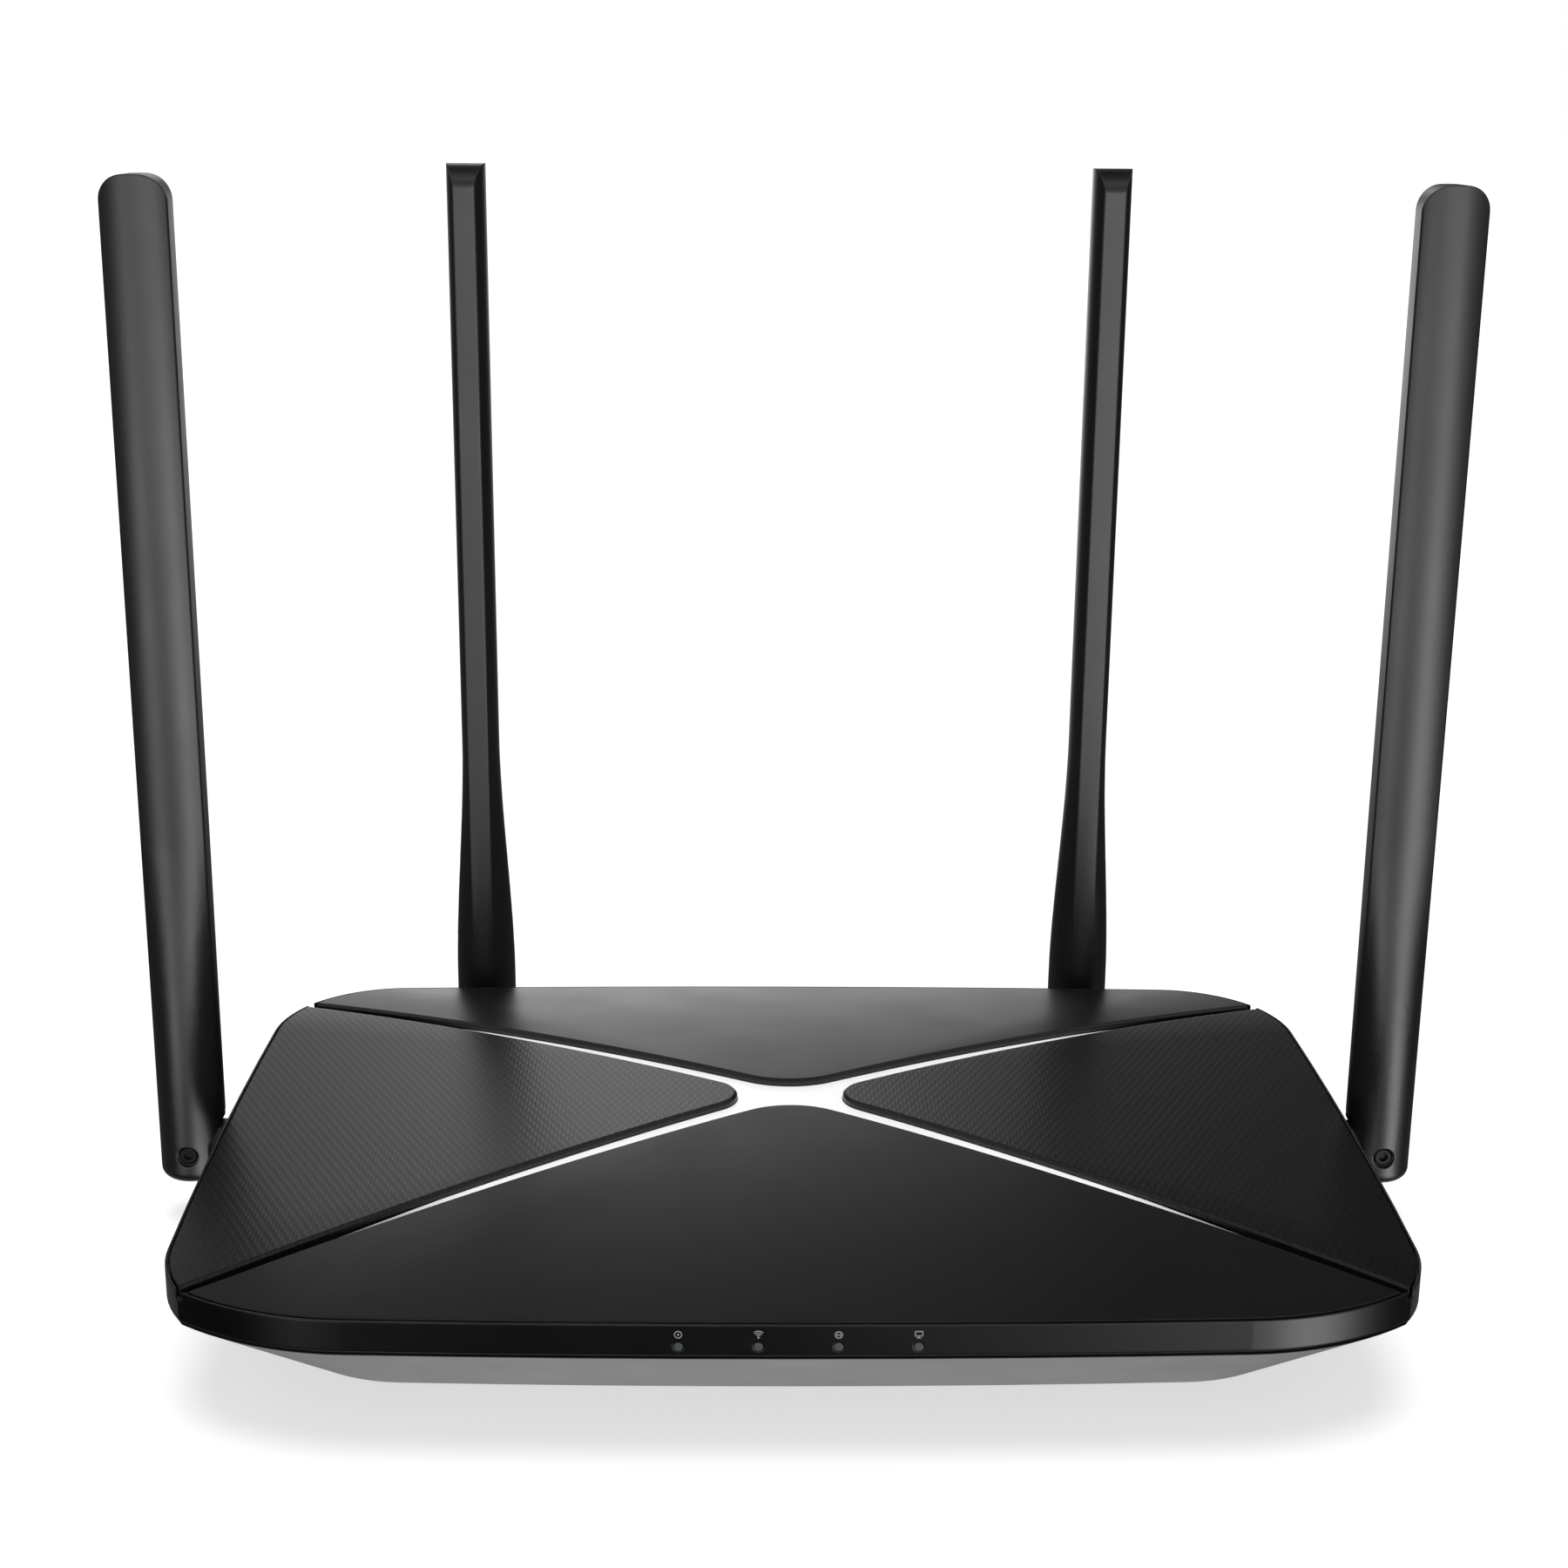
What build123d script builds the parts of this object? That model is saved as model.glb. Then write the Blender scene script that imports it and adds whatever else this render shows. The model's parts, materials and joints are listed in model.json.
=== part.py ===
"""Desktop wireless router: a low domed case on a tapered tray, with four folding antennas.

Frame: millimetres, +X to the right, +Y to the back, +Z up. The floor under the rubber feet is
z = 0, and the origin is under the middle of the whole object, antennas included.
"""

import os
from math import atan2, cos, sin, sqrt

from build123d import *

os.makedirs("parts", exist_ok=True)

# ---- Driving dimensions ------------------------------------------------------------------

# Rim, seen from above: each side is a shallow bow between two corners
rim_corner = (90.0, 57.4)
rim_half_width = 95.0
rim_half_depth = 67.6
rim_front_straight = 65.0  # half length of the nearly straight middle of the front edge
rim_rear_straight = 73.0
rim_side_straight = 44.0
front_bow = 0.12  # share of an edge's bulge that lies in its straight middle
rear_bow = 0.12
side_bow = 0.14

# Heights above the floor
foot_height = 0.8
split_z = 17.0  # where the tray meets the top frame
rim_z = 21.7
dome_rise = 6.9
dome_power = 1.84

# Underside of the tray, seen from above
base_front_corner = (71.2, -43.2)
base_rear_corner = (71.0, 60.6)
base_front = 48.0
base_rear = 64.0
base_half_width = 75.0
base_long_straight = 60.0
base_side_straight = 41.0
base_bow = 0.25
neck_height = 0.9  # upright neck of the tray under the band, which leaves a dark gap
neck_inset = 1.2
tray_step = 0.5  # the tray's top edge stands this far inside the band
tray_wall = 1.6
tray_floor = 1.8

# Top: four plates inlaid in a frame, with an X-shaped trim between them
band_wall = 2.0
lip_width = 0.3
seam = 0.1  # between a plate and the ribs beside it
rim_seam = 0.4  # between a plate and the lip round the rim
plate_thickness = 1.7
rib_depth = 1.3  # floor of the X groove below the plates
pocket_depth = 1.75
deck_thickness = 1.8
plate_bevel = 0.45  # along the groove
corner_gap = 0.85  # half width of the groove where it reaches a corner
side_tip = 4.35  # the plates' points, before they are rounded
side_tip_radius = 5.5
front_tip = 2.75
front_tip_radius = 13.4

# Rear panel with the sockets
bay_half_width = 51.5
bay_return = 1.6
panel_y = 63.4
panel_wall = 2.0
board_top = 5.0
board_thickness = 1.6
jack_height = 11.5
jack_depth = 15.5
jack_pitch = 13.5
wan_x = -14.5
wan_width = 14.5
lan_x = 22.5
power_x = -40.0
button_x = -29.0
button_z = 10.5
button_radius = 1.9

# Antennas: the pivot is the crossing of the swivel axis and the fold axis
pivot_z = 12.8
side_antenna = (103.1, 13.4)
rear_antenna = (58.4, 75.6)
pivot_reach = 7.9  # from the face of the boss to the pivot
antenna_above = 163.7
antenna_below = 5.2
base_radius = 5.65
paddle_width = 10.8
paddle_thickness = 7.05
paddle_edge = 4.1
pin_radius = 1.6
slot_width = 4.4
tongue_thickness = 4.0
tongue_radius = 4.0
flange_radius = 5.0
flange_thickness = 1.2
shaft_radius = 3.0
running_clearance = 0.05
axial_gap = 0.2

# Fasteners, feet and wall mounting
screw_places = [(-62.0, -36.0), (62.0, -36.0), (-62.0, 41.0), (62.0, 41.0)]
board_screw_places = [(-51.0, -28.0), (51.0, -28.0), (-51.0, 40.0), (51.0, 40.0)]
tower_top = 8.8  # where the tray's screw towers meet the top frame's posts
deck_reach = 22.3  # inside the thickness of the deck above the screws
foot_places = [(-48.0, -36.0), (48.0, -36.0), (-48.0, 50.0), (48.0, 50.0)]
foot_radius = 5.0
keyhole_spacing = 124.0
keyhole_y = 4.0
keyhole_radius = 4.0
keyhole_slot = 4.0
led_pitch = 11.4
led_z = 18.3

# The body's middle stands forward of the origin, because the rear antennas reach back
body_y = (rim_half_depth - rear_antenna[1] - base_radius) / 2
groove_angle = atan2(rim_corner[1], rim_corner[0])


def save(name, built):
    """Moves a finished piece from the rim's middle to the frame's origin and writes its file."""
    with BuildPart() as placed:
        with Locations((0, body_y, 0)):
            add(built.part)
    placed.part.label = name
    export_step(placed.part, f"parts/{name}.step")


# ---- Outlines ----------------------------------------------------------------------------


def bowed_side(start, crown, end, straight, bow_share):
    """Three arcs from start to end: a nearly straight middle and two tighter shoulders."""
    along = (Vector(*end) - Vector(*start)).normalized()
    outward = Vector(along.Y, -along.X)
    bow = bow_share * (Vector(*crown) - Vector(*start)).dot(outward)
    near = Vector(*crown) - along * straight - outward * bow
    far = Vector(*crown) + along * straight - outward * bow
    middle = ThreePointArc(near, crown, far)
    TangentArc(near, start, tangent=(middle % 0) * -1)
    TangentArc(far, end, tangent=middle % 1)


def rim_face(height, factor=1.0, inset=0.0):
    """The rim's outline at a height, scaled about the body's middle or moved inwards."""
    x, y = rim_corner[0] * factor, rim_corner[1] * factor
    wide, deep = rim_half_width * factor, rim_half_depth * factor
    front_half, rear_half = rim_front_straight * factor, rim_rear_straight * factor
    side_half = rim_side_straight * factor
    with BuildSketch(Plane.XY.offset(height)) as outline:
        with BuildLine():
            bowed_side((-x, -y), (0, -deep), (x, -y), front_half, front_bow)
            bowed_side((x, -y), (wide, 0), (x, y), side_half, side_bow)
            bowed_side((x, y), (0, deep), (-x, y), rear_half, rear_bow)
            bowed_side((-x, y), (-wide, 0), (-x, -y), side_half, side_bow)
        make_face()
        if inset:
            offset(amount=-inset, kind=Kind.INTERSECTION)
    return outline.sketch


def base_face(height, inset=0.0):
    """The tray's outline at its floor: its back is close under the rim, its front far inside."""
    front_x, front_y = base_front_corner
    rear_x, rear_y = base_rear_corner
    front_left, front_right = (-front_x, front_y), (front_x, front_y)
    rear_left, rear_right = (-rear_x, rear_y), (rear_x, rear_y)
    middle_y = (front_y + rear_y) / 2
    side_half = base_side_straight
    with BuildSketch(Plane.XY.offset(height)) as outline:
        with BuildLine():
            bowed_side(front_left, (0, -base_front), front_right, base_long_straight, base_bow)
            bowed_side(front_right, (base_half_width, middle_y), rear_right, side_half, base_bow)
            bowed_side(rear_right, (0, base_rear), rear_left, base_long_straight, base_bow)
            bowed_side(rear_left, (-base_half_width, middle_y), front_left, side_half, base_bow)
        make_face()
        if inset:
            offset(amount=-inset, kind=Kind.INTERSECTION)
    return outline.sketch


def plate_triangle(side, grow=0.0):
    """One of the four fields that the X groove cuts the top into, running past the rim."""
    gap_x = corner_gap * sin(groove_angle)
    gap_y = corner_gap * cos(groove_angle)
    if side in ("front", "rear"):
        tip, radius = (0, front_tip), front_tip_radius
        corner = (rim_corner[0] - gap_x, rim_corner[1] + gap_y)
    else:
        tip, radius = (side_tip, 0), side_tip_radius
        corner = (rim_corner[0] + gap_x, rim_corner[1] - gap_y)
    reach = 1.25
    far_x = tip[0] + reach * (corner[0] - tip[0])
    far_y = tip[1] + reach * (corner[1] - tip[1])
    points = {
        "front": [(0, -tip[1]), (far_x, -far_y), (-far_x, -far_y)],
        "rear": [(0, tip[1]), (-far_x, far_y), (far_x, far_y)],
        "left": [(-tip[0], 0), (-far_x, far_y), (-far_x, -far_y)],
        "right": [(tip[0], 0), (far_x, -far_y), (far_x, far_y)],
    }[side]
    with BuildSketch(Plane.XY.offset(split_z)) as field:
        with BuildLine():
            Polyline(*points, close=True)
        make_face()
        fillet(field.vertices().sort_by_distance((0, 0, split_z))[0], radius=radius)
        if grow:
            offset(amount=grow, kind=Kind.INTERSECTION)
    return field.sketch


def plate_face(side, grow=0.0, rim_gap=rim_seam):
    """A plate's outline; grown by the seam it is the pocket that the plate lies in."""
    with BuildSketch(Plane.XY.offset(split_z)) as outline:
        add(plate_triangle(side, grow))
        add(rim_face(split_z, inset=lip_width + rim_gap), mode=Mode.INTERSECT)
    return outline.sketch


plate_sides = ("front", "rear", "left", "right")


def trim_face(grow=0.0):
    """The X-shaped trim: a hub between the plates' points and four arms that run out."""
    with BuildSketch(Plane.XY.offset(split_z)) as outline:
        for quadrant_x, quadrant_y in ((1, 1), (-1, 1), (-1, -1), (1, -1)):
            direction = Vector(quadrant_x * rim_corner[0], quadrant_y * rim_corner[1])
            across = Vector(-direction.Y, direction.X).normalized()
            with BuildLine():
                Polyline(
                    direction * -0.1 + across * 6,
                    direction * 0.5 + across * (1.9 + grow),
                    direction * (0.8 + grow / 50) + across * 0.25,
                    direction * (0.8 + grow / 50) - across * 0.25,
                    direction * 0.5 - across * (1.9 + grow),
                    direction * -0.1 - across * 6,
                    close=True,
                )
            make_face()
        for side in plate_sides:
            add(plate_triangle(side, seam if grow == 0 else 0), mode=Mode.SUBTRACT)
    return outline.sketch


# ---- Domed surfaces ----------------------------------------------------------------------


def domed_block(drop):
    """Everything inside the rim, from below the band up to the dome lowered by drop."""
    factors = [1.0, 0.86, 0.72, 0.58, 0.44, 0.3, 0.16, 0.04]
    sections = [
        rim_face(rim_z - drop + dome_rise * (1 - factor**dome_power), factor)
        for factor in factors
    ]
    with BuildPart() as block:
        extrude(rim_face(split_z), amount=rim_z - drop - split_z)
        loft(sections)
    return block.part


plate_top = domed_block(0)
plate_underside = domed_block(plate_thickness)
groove_floor = domed_block(rib_depth)
pocket_floor = domed_block(pocket_depth)
deck_underside = domed_block(pocket_depth + deck_thickness)
above_everything = 30.0

# ---- Tray --------------------------------------------------------------------------------

with BuildPart() as tray_inside:
    loft(
        [
            base_face(foot_height + tray_floor, inset=tray_wall),
            rim_face(split_z + tray_floor, inset=tray_step + tray_wall),
        ],
        ruled=True,
    )
    # The sockets' panel stays solid
    with BuildSketch(Plane.XY.offset(foot_height)) as panel_zone:
        with Locations((0, panel_y - panel_wall)):
            Rectangle(
                2 * (bay_half_width + bay_return), 40, align=(Align.CENTER, Align.MIN)
            )
    extrude(amount=above_everything, mode=Mode.SUBTRACT)


def boss_profile(radius):
    """Round below and square above, so that the tray's boss closes against the top frame."""
    with Locations((0, pivot_z)):
        Circle(radius)
    with Locations((0, pivot_z)):
        Rectangle(2 * radius, 20, align=(Align.CENTER, Align.MIN))


def side_face_plane(direction):
    """Plane on the outer face of a side boss, looking outwards along X."""
    x = direction * (side_antenna[0] - pivot_reach)
    return Plane((x, side_antenna[1], 0), x_dir=(0, direction, 0), z_dir=(direction, 0, 0))


def rear_face_plane(direction):
    """Plane on the outer face of a rear boss, looking outwards along Y."""
    y = rear_antenna[1] - pivot_reach
    return Plane((direction * rear_antenna[0], y, 0), x_dir=(-1, 0, 0), z_dir=(0, 1, 0))


boss_planes = {
    "left_side": side_face_plane(-1),
    "right_side": side_face_plane(1),
    "left_rear": rear_face_plane(-1),
    "right_rear": rear_face_plane(1),
}
boss_wall = 2.0
boss_radius = 5.8

with BuildPart() as bottom_case:
    loft(
        [base_face(foot_height), rim_face(split_z - neck_height, inset=tray_step)],
        ruled=True,
    )
    extrude(rim_face(split_z - neck_height, inset=neck_inset), amount=neck_height)
    # Bosses that carry the antennas' swivels
    for face in boss_planes.values():
        with BuildSketch(face) as boss:
            boss_profile(boss_radius)
        extrude(amount=-14)
    add(tray_inside.part, mode=Mode.SUBTRACT)
    for face in boss_planes.values():
        with BuildSketch(face.offset(-boss_wall)) as boss_hollow:
            boss_profile(boss_radius - 1.4)
        extrude(amount=-14, mode=Mode.SUBTRACT)
        with BuildSketch(face) as swivel_bore:
            with Locations((0, pivot_z)):
                Circle(shaft_radius + running_clearance)
        extrude(amount=-boss_wall - 1, mode=Mode.SUBTRACT)
    # Flat bay for the sockets, open below the band
    with BuildSketch(Plane.XY.offset(foot_height)) as bay:
        with Locations((0, panel_y)):
            Rectangle(2 * bay_half_width, 20, align=(Align.CENTER, Align.MIN))
    extrude(amount=above_everything, mode=Mode.SUBTRACT)
    # Everything ends level where the top frame sits
    with BuildSketch(Plane.XY.offset(split_z)) as lid_zone:
        Rectangle(300, 300)
    extrude(amount=above_everything, mode=Mode.SUBTRACT)
    # Socket windows, open upwards
    with BuildSketch(Plane((0, panel_y, 0), x_dir=(1, 0, 0), z_dir=(0, -1, 0))) as windows:
        for x, width in ((wan_x, wan_width), (lan_x, 4 * jack_pitch), (power_x, 9.0)):
            with Locations((x, board_top - 0.1)):
                Rectangle(width + 0.4, 20, align=(Align.CENTER, Align.MIN))
        with Locations((button_x, button_z)):
            Circle(button_radius + 0.3)
    extrude(amount=panel_wall + 0.5, mode=Mode.SUBTRACT)
    # Screw towers, board posts and wall-mount cups stand on the floor
    with BuildSketch(Plane.XY.offset(foot_height)) as towers:
        with Locations(*screw_places):
            Circle(3.6)
    extrude(amount=tower_top - foot_height)
    with BuildSketch(Plane.XY.offset(foot_height + 0.2)) as posts:
        with Locations(*board_screw_places):
            Circle(3.0)
    extrude(amount=board_top - board_thickness - foot_height - 0.2)
    with BuildSketch(Plane.XY.offset(foot_height)) as cups:
        for x in (-keyhole_spacing / 2, keyhole_spacing / 2):
            with Locations((x, keyhole_y)):
                Circle(keyhole_radius + 1.0)
            with Locations((x, keyhole_y)):
                Rectangle(keyhole_slot + 2, 11.0, align=(Align.CENTER, Align.MIN))
    extrude(amount=7.0)
    with BuildSketch(Plane.XY.offset(foot_height)) as keyholes:
        for x in (-keyhole_spacing / 2, keyhole_spacing / 2):
            with Locations((x, keyhole_y)):
                Circle(keyhole_radius)
            with Locations((x, keyhole_y)):
                Rectangle(keyhole_slot, 8.0, align=(Align.CENTER, Align.MIN))
            with Locations((x, keyhole_y + 8.0)):
                Circle(keyhole_slot / 2)
    extrude(amount=6.0, mode=Mode.SUBTRACT)
    # Behind the slots the screw heads need the cups' full width
    with BuildSketch(Plane.XY.offset(foot_height + tray_floor)) as head_room:
        for x in (-keyhole_spacing / 2, keyhole_spacing / 2):
            with Locations((x, keyhole_y), (x, keyhole_y + 3.0)):
                Circle(keyhole_radius)
    extrude(amount=6.0 - tray_floor, mode=Mode.SUBTRACT)
    # Screw holes with sunk heads, and pilot holes for the board's screws
    with BuildSketch(Plane.XY.offset(foot_height)) as head_holes:
        with Locations(*screw_places):
            Circle(3.0)
    extrude(amount=2.4, mode=Mode.SUBTRACT)
    with BuildSketch(Plane.XY.offset(foot_height)) as shank_holes:
        with Locations(*screw_places):
            Circle(1.7)
    extrude(amount=9.0, mode=Mode.SUBTRACT)
    with BuildSketch(Plane.XY.offset(foot_height + 0.6)) as pilot_holes:
        with Locations(*board_screw_places):
            Circle(1.1)
    extrude(amount=8.0, mode=Mode.SUBTRACT)
    # Recesses for the feet and the label, and rows of cooling slots
    with BuildSketch(Plane.XY.offset(foot_height)) as foot_recesses:
        with Locations(*foot_places):
            Circle(foot_radius + 0.15)
    extrude(amount=0.6, mode=Mode.SUBTRACT)
    with BuildSketch(Plane.XY.offset(foot_height)) as label_recess:
        with Locations((0, -22)):
            RectangleRounded(46.3, 24.3, 1.6)
    extrude(amount=0.2, mode=Mode.SUBTRACT)
    with BuildSketch(Plane.XY.offset(foot_height)) as cooling_slots:
        with GridLocations(5.0, 0, 17, 1):
            with Locations((0, 5)):
                SlotOverall(20, 1.8, rotation=90)
        with GridLocations(5.0, 0, 13, 1):
            with Locations((0, 32)):
                SlotOverall(20, 1.8, rotation=90)
    extrude(amount=tray_floor + 0.2, mode=Mode.SUBTRACT)
save("bottom_case", bottom_case)

# ---- Top frame, plates and trim ----------------------------------------------------------

with BuildPart() as inlay_space:
    for side in plate_sides:
        extrude(plate_face(side, seam, rim_gap=0), amount=above_everything)
    extrude(trim_face(grow=0.1), amount=above_everything)
    add(pocket_floor, mode=Mode.SUBTRACT)

with BuildPart() as frame_inside:
    extrude(rim_face(split_z, inset=band_wall), amount=above_everything)
    add(deck_underside, mode=Mode.INTERSECT)
    # The band is thick over the sockets' bay
    with BuildSketch(Plane.XY.offset(split_z)) as bay_roof:
        with Locations((0, panel_y - panel_wall)):
            Rectangle(
                2 * (bay_half_width + bay_return), 40, align=(Align.CENTER, Align.MIN)
            )
    extrude(amount=above_everything, mode=Mode.SUBTRACT)

with BuildPart() as top_frame:
    add(groove_floor)
    # The lip stands round each plate and is open where the groove runs out
    for side in plate_sides:
        with BuildSketch(Plane.XY.offset(rim_z - rib_depth - 0.5)) as lip:
            add(plate_triangle(side))
            add(rim_face(0), mode=Mode.INTERSECT)
            add(rim_face(0, inset=lip_width), mode=Mode.SUBTRACT)
        extrude(amount=rib_depth + 0.5)
    add(inlay_space.part, mode=Mode.SUBTRACT)
    add(frame_inside.part, mode=Mode.SUBTRACT)
    # Screw posts hang from the deck
    with BuildSketch(Plane.XY.offset(tower_top + 0.1)) as screw_posts:
        with Locations(*screw_places):
            Circle(3.2)
    extrude(amount=deck_reach - tower_top)
    with BuildSketch(Plane.XY.offset(tower_top + 0.1)) as post_pilots:
        with Locations(*screw_places):
            Circle(1.5)
    extrude(amount=9.0, mode=Mode.SUBTRACT)
    # Holes for the light pipes' tips
    with BuildSketch(Plane((0, -rim_half_depth - 1, 0), x_dir=(1, 0, 0), z_dir=(0, -1, 0))):
        with Locations((0, led_z)):
            with GridLocations(led_pitch, 0, 4, 1):
                Circle(0.75)
    extrude(amount=-(band_wall + 2), mode=Mode.SUBTRACT)
save("top_frame", top_frame)


def edges_round(faces):
    """The edges that run round a group of touching faces."""
    every = faces.edges()
    return [edge for edge in every if sum(edge.is_same(other) for other in every) == 1]


def beside_groove(edge):
    """Whether an edge of a plate runs along the X groove, and not along the rim."""
    middle = edge.center()
    return max(abs(middle.X) / rim_half_width, abs(middle.Y) / rim_half_depth) < 0.8


for side in plate_sides:
    with BuildPart() as plate:
        extrude(plate_face(side), amount=above_everything)
        add(plate_top, mode=Mode.INTERSECT)
        add(plate_underside, mode=Mode.SUBTRACT)
        upper_faces = plate.faces().filter_by(lambda face: face.normal_at().Z > 0.5)
        chamfer([edge for edge in edges_round(upper_faces) if beside_groove(edge)], plate_bevel)
    save(f"{side}_plate", plate)

with BuildPart() as x_trim:
    extrude(trim_face(), amount=above_everything)
    add(domed_block(rib_depth - 0.05), mode=Mode.INTERSECT)
    add(plate_underside, mode=Mode.SUBTRACT)
save("x_trim", x_trim)

# ---- Feet, screws and label --------------------------------------------------------------

with BuildPart() as rubber_feet:
    with BuildSketch(Plane.XY):
        with Locations(*foot_places):
            Circle(foot_radius)
    extrude(amount=foot_height + 0.6)
    chamfer(rubber_feet.edges().group_by(Axis.Z)[0], length=0.3)
save("rubber_feet", rubber_feet)


def cross_head_screws(places, head_z, head_radius, head_height, shank_radius, shank_length, up):
    """Identical cross-recessed screws; up is 1 for shanks that point up, -1 for down."""
    with BuildPart() as screws:
        with BuildSketch(Plane.XY.offset(head_z)):
            with Locations(*places):
                Circle(head_radius)
        extrude(amount=up * head_height)
        with BuildSketch(Plane.XY.offset(head_z + up * head_height)):
            with Locations(*places):
                Circle(shank_radius)
        extrude(amount=up * shank_length)
        with BuildSketch(Plane.XY.offset(head_z)):
            with Locations(*places):
                Rectangle(head_radius * 1.2, head_radius * 0.25)
                Rectangle(head_radius * 0.25, head_radius * 1.2)
        extrude(amount=up * head_height * 0.6, mode=Mode.SUBTRACT)
    return screws


case_screws = cross_head_screws(screw_places, foot_height + 0.7, 2.8, 1.6, 1.45, 12.0, 1)
save("case_screws", case_screws)

with BuildPart() as rating_label:
    with BuildSketch(Plane.XY.offset(foot_height + 0.05)):
        with Locations((0, -22)):
            RectangleRounded(46, 24, 1.5)
    extrude(amount=0.12)
save("rating_label", rating_label)

# ---- Circuit board and what is soldered to it --------------------------------------------

board_half_width = 56.0
board_front = -33.0
board_rear = 61.0
board_bottom = board_top - board_thickness

with BuildPart() as circuit_board:
    with BuildSketch(Plane.XY.offset(board_bottom)):
        with Locations((0, board_front)):
            Rectangle(
                2 * board_half_width, board_rear - board_front, align=(Align.CENTER, Align.MIN)
            )
        # The rear corners are cut away round the rear antennas' swivels
        for x in (-board_half_width, board_half_width):
            with Locations((x, board_rear)):
                Rectangle(10, 16, mode=Mode.SUBTRACT)
        with Locations(*board_screw_places):
            Circle(1.5, mode=Mode.SUBTRACT)
    extrude(amount=board_thickness)
    fillet(circuit_board.edges().filter_by(Axis.Z).group_by(Axis.Y)[0], radius=2)
save("circuit_board", circuit_board)

board_screws = cross_head_screws(board_screw_places, board_top + 1.5, 2.6, 1.45, 1.05, 3.4, -1)
save("board_screws", board_screws)

jack_rear = panel_y - 0.4
jack_face = Plane((0, jack_rear, 0), x_dir=(1, 0, 0), z_dir=(0, -1, 0))
cavity_width = 11.9
cavity_height = 7.0
cavity_floor = board_top + 1.3
cavity_depth = 12.0


def network_jack(centre, width, ports):
    """A row of network sockets with the latch notch at the top, opening at the rear."""
    first = -(ports - 1) / 2
    with BuildPart() as jack:
        with BuildSketch(jack_face):
            with Locations((centre, board_top)):
                Rectangle(width, jack_height, align=(Align.CENTER, Align.MIN))
        extrude(amount=jack_depth)
        with BuildSketch(jack_face):
            for port in range(ports):
                x = centre + (first + port) * jack_pitch
                with Locations((x, cavity_floor)):
                    Rectangle(cavity_width, cavity_height, align=(Align.CENTER, Align.MIN))
                with Locations((x, cavity_floor + cavity_height)):
                    Rectangle(6.2, 1.4, align=(Align.CENTER, Align.MIN))
                with Locations((x, cavity_floor + cavity_height + 1.4)):
                    Rectangle(3.4, 1.0, align=(Align.CENTER, Align.MIN))
        extrude(amount=cavity_depth, mode=Mode.SUBTRACT)
    return jack


save("wan_jack", network_jack(wan_x, wan_width, 1))
save("lan_jacks", network_jack(lan_x, 4 * jack_pitch, 4))

port_centres = [wan_x] + [lan_x + (port - 1.5) * jack_pitch for port in range(4)]
contact_pitch = 1.02

with BuildPart() as jack_contacts:
    # Each contact lies on the cavity's floor and rises a little towards the inside
    with BuildSketch(Plane.YZ) as contact_side:
        with BuildLine():
            Polyline(
                (jack_rear - 2.0, cavity_floor + 0.05),
                (jack_rear - 2.0, cavity_floor + 0.35),
                (jack_rear - 9.5, cavity_floor + 1.35),
                (jack_rear - 9.8, cavity_floor + 1.05),
                (jack_rear - 4.0, cavity_floor + 0.05),
                close=True,
            )
        make_face()
    for centre in port_centres:
        for wire in range(8):
            x = centre + (wire - 3.5) * contact_pitch
            extrude(contact_side.sketch.moved(Location((x, 0, 0))), amount=0.2, both=True)
save("jack_contacts", jack_contacts)

power_width = 9.0
power_height = 11.0
power_bore_z = board_top + 6.3

with BuildPart() as power_jack:
    with BuildSketch(jack_face):
        with Locations((power_x, board_top)):
            Rectangle(power_width, power_height, align=(Align.CENTER, Align.MIN))
    extrude(amount=14)
    with BuildSketch(jack_face):
        with Locations((power_x, power_bore_z)):
            Circle(3.2)
    extrude(amount=9.5, mode=Mode.SUBTRACT)
save("power_jack", power_jack)

with BuildPart() as power_jack_pin:
    with BuildSketch(jack_face.offset(1.5)):
        with Locations((power_x, power_bore_z)):
            Circle(1.0)
    extrude(amount=8.0)
    fillet(power_jack_pin.edges().group_by(Axis.Y)[-1], radius=0.4)
save("power_jack_pin", power_jack_pin)

# ---- Push button and its switch ----------------------------------------------------------

button_travel = 0.5
button_flange = 0.8
panel_inner_y = panel_y - panel_wall
cap_end = panel_inner_y - axial_gap - button_flange
switch_front = 53.0

with BuildPart() as push_button:
    button_plane = Plane((button_x, panel_y + 0.6, button_z), x_dir=(1, 0, 0), z_dir=(0, -1, 0))
    with BuildSketch(button_plane):
        Circle(button_radius)
    extrude(amount=panel_y + 0.6 - cap_end)
    chamfer(push_button.edges().group_by(Axis.Y)[-1], length=0.3)
    with BuildSketch(Plane((button_x, cap_end, button_z), x_dir=(1, 0, 0), z_dir=(0, 1, 0))):
        Circle(3.0)
    extrude(amount=button_flange)
    with BuildSketch(Plane((button_x, cap_end, button_z), x_dir=(1, 0, 0), z_dir=(0, -1, 0))):
        Circle(1.2)
    extrude(amount=cap_end - switch_front - 1.9)
save("push_button", push_button)

with BuildPart() as switch_plunger:
    with BuildSketch(
        Plane((button_x, switch_front + 1.85, button_z), x_dir=(1, 0, 0), z_dir=(0, -1, 0))
    ):
        Circle(1.5)
    extrude(amount=2.6)
save("switch_plunger", switch_plunger)

with BuildPart() as tact_switch:
    with BuildSketch(Plane((button_x, 0, board_top), x_dir=(1, 0, 0), z_dir=(0, 0, 1))):
        with Locations((0, switch_front)):
            Rectangle(6.0, 3.5, align=(Align.CENTER, Align.MAX))
    extrude(amount=9.0)
    with BuildSketch(
        Plane((button_x, switch_front, button_z), x_dir=(1, 0, 0), z_dir=(0, -1, 0))
    ):
        Circle(1.8)
    extrude(amount=2.5, mode=Mode.SUBTRACT)
save("tact_switch", tact_switch)

# ---- Status lights -----------------------------------------------------------------------

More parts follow.
